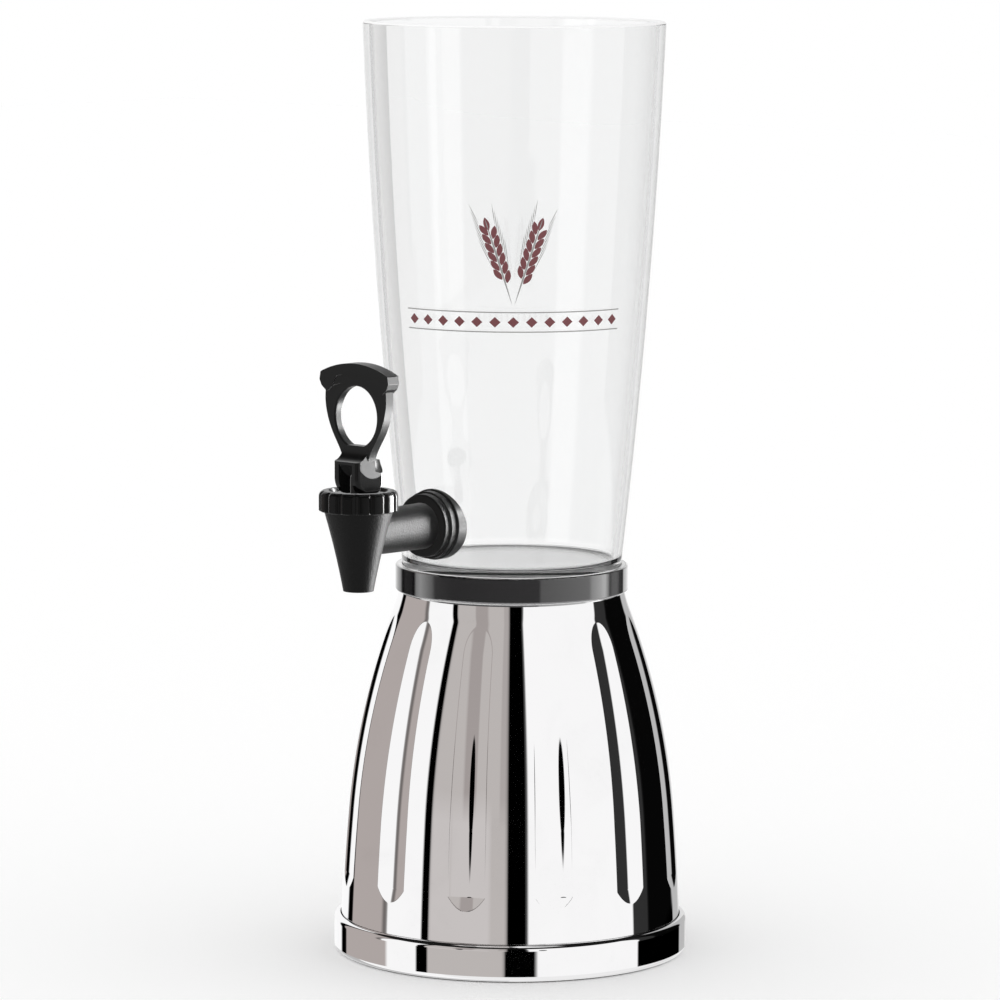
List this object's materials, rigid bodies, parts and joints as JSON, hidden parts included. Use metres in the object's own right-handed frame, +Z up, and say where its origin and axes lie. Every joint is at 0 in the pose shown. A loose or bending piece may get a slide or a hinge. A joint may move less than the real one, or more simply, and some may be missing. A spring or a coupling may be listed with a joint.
{
  "type": "beer tower dispenser",
  "caption": "Table drinks tower: open flared clear vessel with a spring-closed pull tap, standing in a collar on a fluted chrome bell.",
  "frame": {"origin": "centre of the underside of the base pad, on the vessel's axis, in the plane the tower stands on", "axes": "+Z up along the vessel's axis; the tap points along -Y"},
  "size_m": [0.17, 0.2139, 0.4474],
  "materials": {
    "chrome_plastic": "mirror-bright chrome plating on moulded plastic",
    "black_plastic": "fine matt grain",
    "gloss_black": "polished",
    "lever_black": "semi-gloss",
    "clear_plastic": "polished, clear",
    "white_plastic": "smooth",
    "rubber": "soft matt",
    "valve_rubber": "soft matt",
    "steel": "bright zinc"
  },
  "bodies": {
    "base": {"base_bell": "chrome_plastic", "foot_ring": "chrome_plastic", "bottom_plate": "black_plastic", "base_pad": "rubber", "plate_screws": "steel", "collar_ring": "gloss_black", "seat_plate": "white_plastic", "seat_screws": "steel", "seat_gasket": "valve_rubber"},
    "vessel_and_tap": {"vessel": "clear_plastic", "outer_washer": "rubber", "tap_body": "black_plastic", "inner_washer": "rubber", "shank_nut": "black_plastic", "bonnet_nut": "black_plastic", "stem_seal": "valve_rubber", "return_spring": "steel"},
    "valve_stem": {"stem": "white_plastic", "seat_cup": "valve_rubber", "lever_pin": "steel"},
    "pull_lever": {"lever": "lever_black"}
  },
  "joints": [
    {"name": "vessel_lift", "type": "slide", "parent": "base", "child": "vessel_and_tap", "axis": [0, 0, 1], "range_m": [0, 0.03]},
    {"name": "stem_lift", "type": "slide", "parent": "vessel_and_tap", "child": "valve_stem", "axis": [0, 0, 1], "range_m": [0, 0.0026], "deforming": ["return_spring"]},
    {"name": "lever_tilt", "type": "hinge", "parent": "valve_stem", "child": "pull_lever", "pos_m": [0, -0.11, 0.2368], "axis": [1, 0, 0], "range_deg": [0, 60], "stiffness_Nm_per_rad": 0.0023, "springref_deg": -96.26}
  ],
  "couplings": [
    {"joint": "stem_lift", "follows": "lever_tilt", "m_per_rad": 0.0023873}
  ]
}
